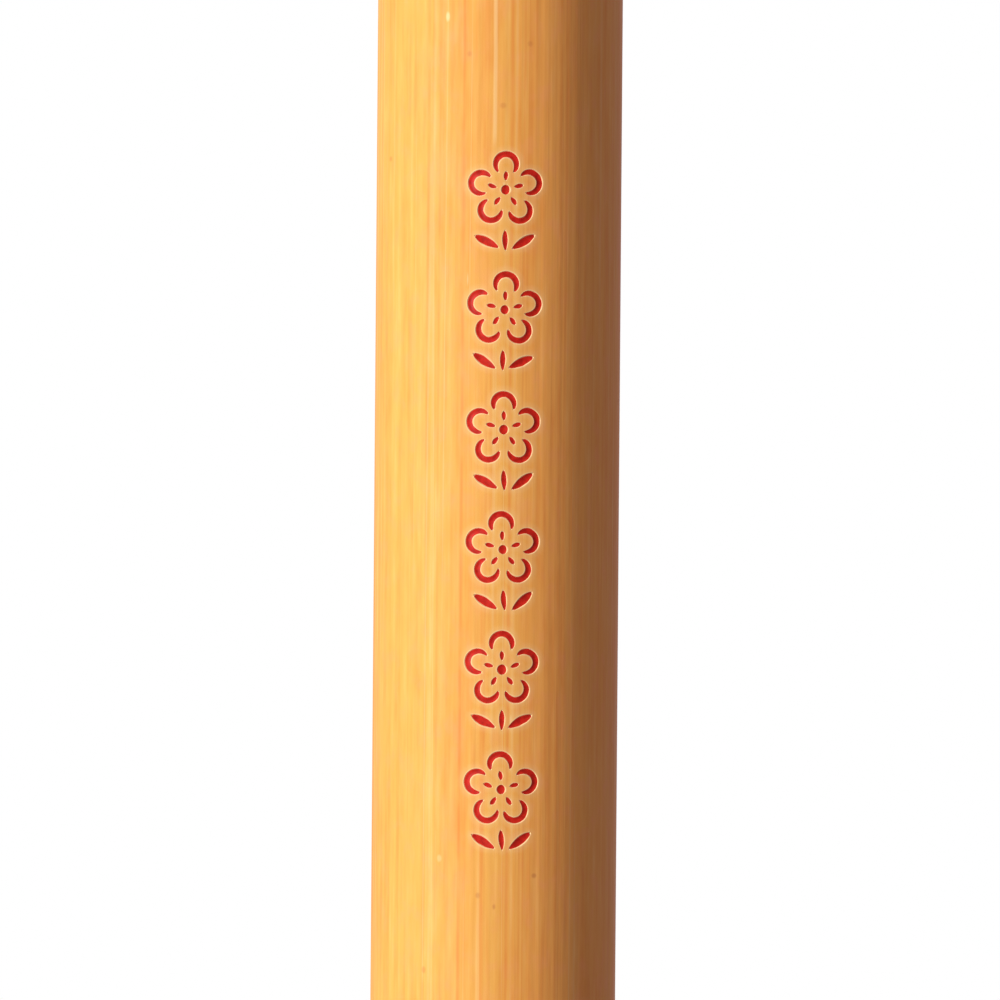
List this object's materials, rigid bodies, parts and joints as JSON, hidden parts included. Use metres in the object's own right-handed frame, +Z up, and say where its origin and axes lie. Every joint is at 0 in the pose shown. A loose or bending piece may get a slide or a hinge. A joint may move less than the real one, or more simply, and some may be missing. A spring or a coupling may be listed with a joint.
{
  "type": "calligraphy brush",
  "caption": "Calligraphy brush with a carved bamboo handle, turned horn ferrule and tail cap, bone rings and a pointed hair tuft that bends and springs back.",
  "frame": {"origin": "the mouth of the cord hole, on the axis, at the top of the tail cap", "axes": "+Z up the handle, from the hair towards the tail; the carved front faces -Y; the brush hangs tip down"},
  "size_m": [0.0132, 0.0132, 0.2642],
  "materials": {
    "bamboo": "natural bamboo, waxed satin, with fine fibre streaks",
    "lacquer": "vermilion lacquer on the floor of carved cuts, satin",
    "horn": "polished dark buffalo horn with brown streaks",
    "bone": "polished bone, ivory coloured",
    "resin": "amber pine resin",
    "seared_hair": "hair ends seared to a hard dark disc",
    "thread": "hemp thread, waxed",
    "root_hair": "gathered animal hair, russet brown",
    "coat_hair": "fine animal hair, russet brown with a silky sheen",
    "belly_hair": "fine animal hair, light brown",
    "core_hair": "stiff animal hair, buff",
    "life_hair": "fine hair points, darker russet, silky"
  },
  "bodies": {
    "handle": {"bamboo_handle": "bamboo", "carving_lacquer": "lacquer", "tail_cap": "horn", "tail_ring": "bone", "mouth_ring": "bone", "ferrule": "horn", "root_resin": "resin", "seared_root": "seared_hair", "root_thread": "thread", "hair_root": "root_hair"},
    "tuft": {"coat_hairs": "coat_hair", "belly_hairs": "belly_hair", "core_hairs": "core_hair", "life_hairs": "life_hair"}
  },
  "joints": [
    {"name": "tuft_bend", "type": "hinge", "parent": "handle", "child": "tuft", "pos_m": [0, 0, -0.2322], "axis": [0, 1, 0], "range_deg": [-50, 50], "stiffness_Nm_per_rad": 0.02}
  ]
}
